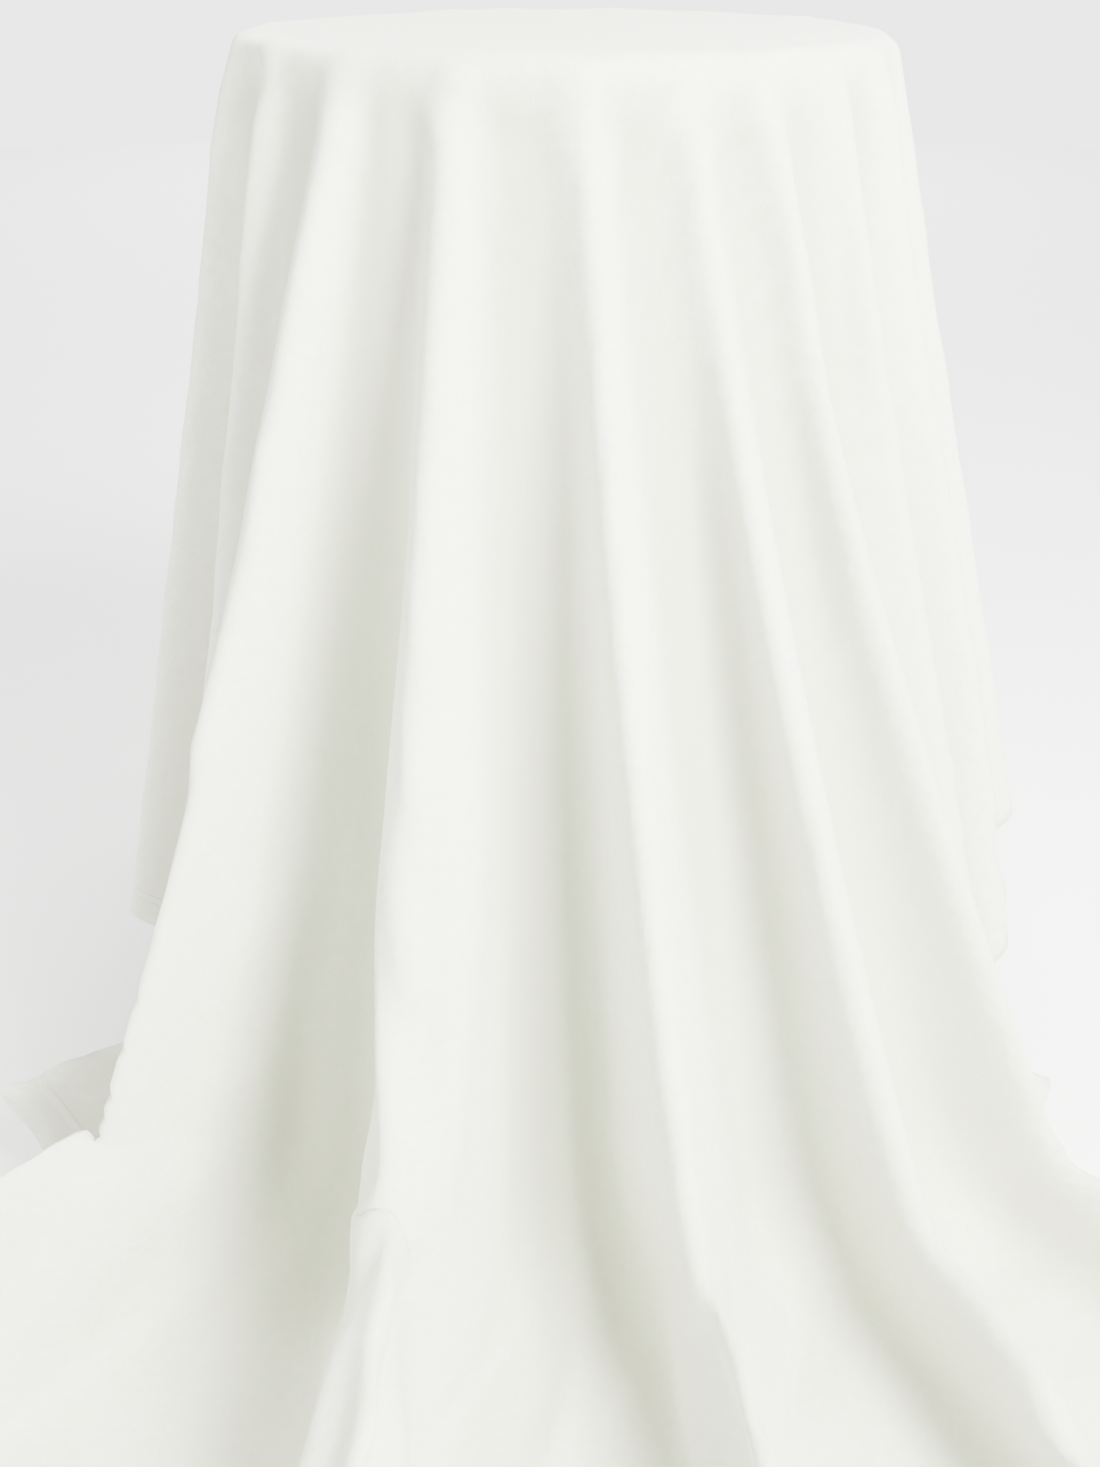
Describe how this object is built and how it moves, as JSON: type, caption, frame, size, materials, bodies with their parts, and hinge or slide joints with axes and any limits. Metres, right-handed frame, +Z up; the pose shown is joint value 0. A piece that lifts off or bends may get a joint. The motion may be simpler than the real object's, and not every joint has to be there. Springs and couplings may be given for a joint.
{
  "type": "tablecloth on a table",
  "caption": "Round high table under a floor-length rectangular cloth that falls in deep flutes and lies on the floor at its corners.",
  "frame": {"origin": "on the floor under the middle of the table", "axes": "+Z up; -Y is the front, and the cloth's long way runs front to back; +X is the right"},
  "size_m": [1.4888, 2.1838, 1.0688],
  "materials": {
    "cloth": "soft matt ivory weave",
    "plywood": "clear satin on birch ply",
    "edging": "smooth brown vinyl",
    "cast_black": "black powder coat",
    "steel_black": "black powder coat",
    "zinc": "bright zinc",
    "nylon": "moulded nylon"
  },
  "bodies": {
    "table": {"table_top": "plywood", "edge_moulding": "edging", "top_spider": "cast_black", "spider_screw_1": "zinc", "spider_screw_2": "zinc", "spider_screw_3": "zinc", "spider_screw_4": "zinc", "spider_screw_5": "zinc", "spider_screw_6": "zinc", "spider_screw_7": "zinc", "spider_screw_8": "zinc", "column_tube": "steel_black", "tie_rod": "zinc", "rod_washer": "zinc", "rod_nut": "zinc", "cross_base": "cast_black", "jam_nut_1": "zinc", "jam_nut_2": "zinc", "jam_nut_3": "zinc", "jam_nut_4": "zinc"},
    "cloth": {"tablecloth": "cloth"},
    "levelling_glide_1": {"glide_1": "zinc", "glide_pad_1": "nylon"},
    "levelling_glide_2": {"glide_2": "zinc", "glide_pad_2": "nylon"},
    "levelling_glide_3": {"glide_3": "zinc", "glide_pad_3": "nylon"},
    "levelling_glide_4": {"glide_4": "zinc", "glide_pad_4": "nylon"}
  },
  "joints": [
    {"name": "cloth_lift", "type": "slide", "parent": "table", "child": "cloth", "axis": [0, 0, 1], "range_m": [0, 1.15]},
    {"name": "glide_thread_1", "type": "slide", "parent": "table", "child": "levelling_glide_1", "axis": [0, 0, -1], "range_m": [0, 0.012]},
    {"name": "glide_thread_2", "type": "slide", "parent": "table", "child": "levelling_glide_2", "axis": [0, 0, -1], "range_m": [0, 0.012]},
    {"name": "glide_thread_3", "type": "slide", "parent": "table", "child": "levelling_glide_3", "axis": [0, 0, -1], "range_m": [0, 0.012]},
    {"name": "glide_thread_4", "type": "slide", "parent": "table", "child": "levelling_glide_4", "axis": [0, 0, -1], "range_m": [0, 0.012]}
  ]
}
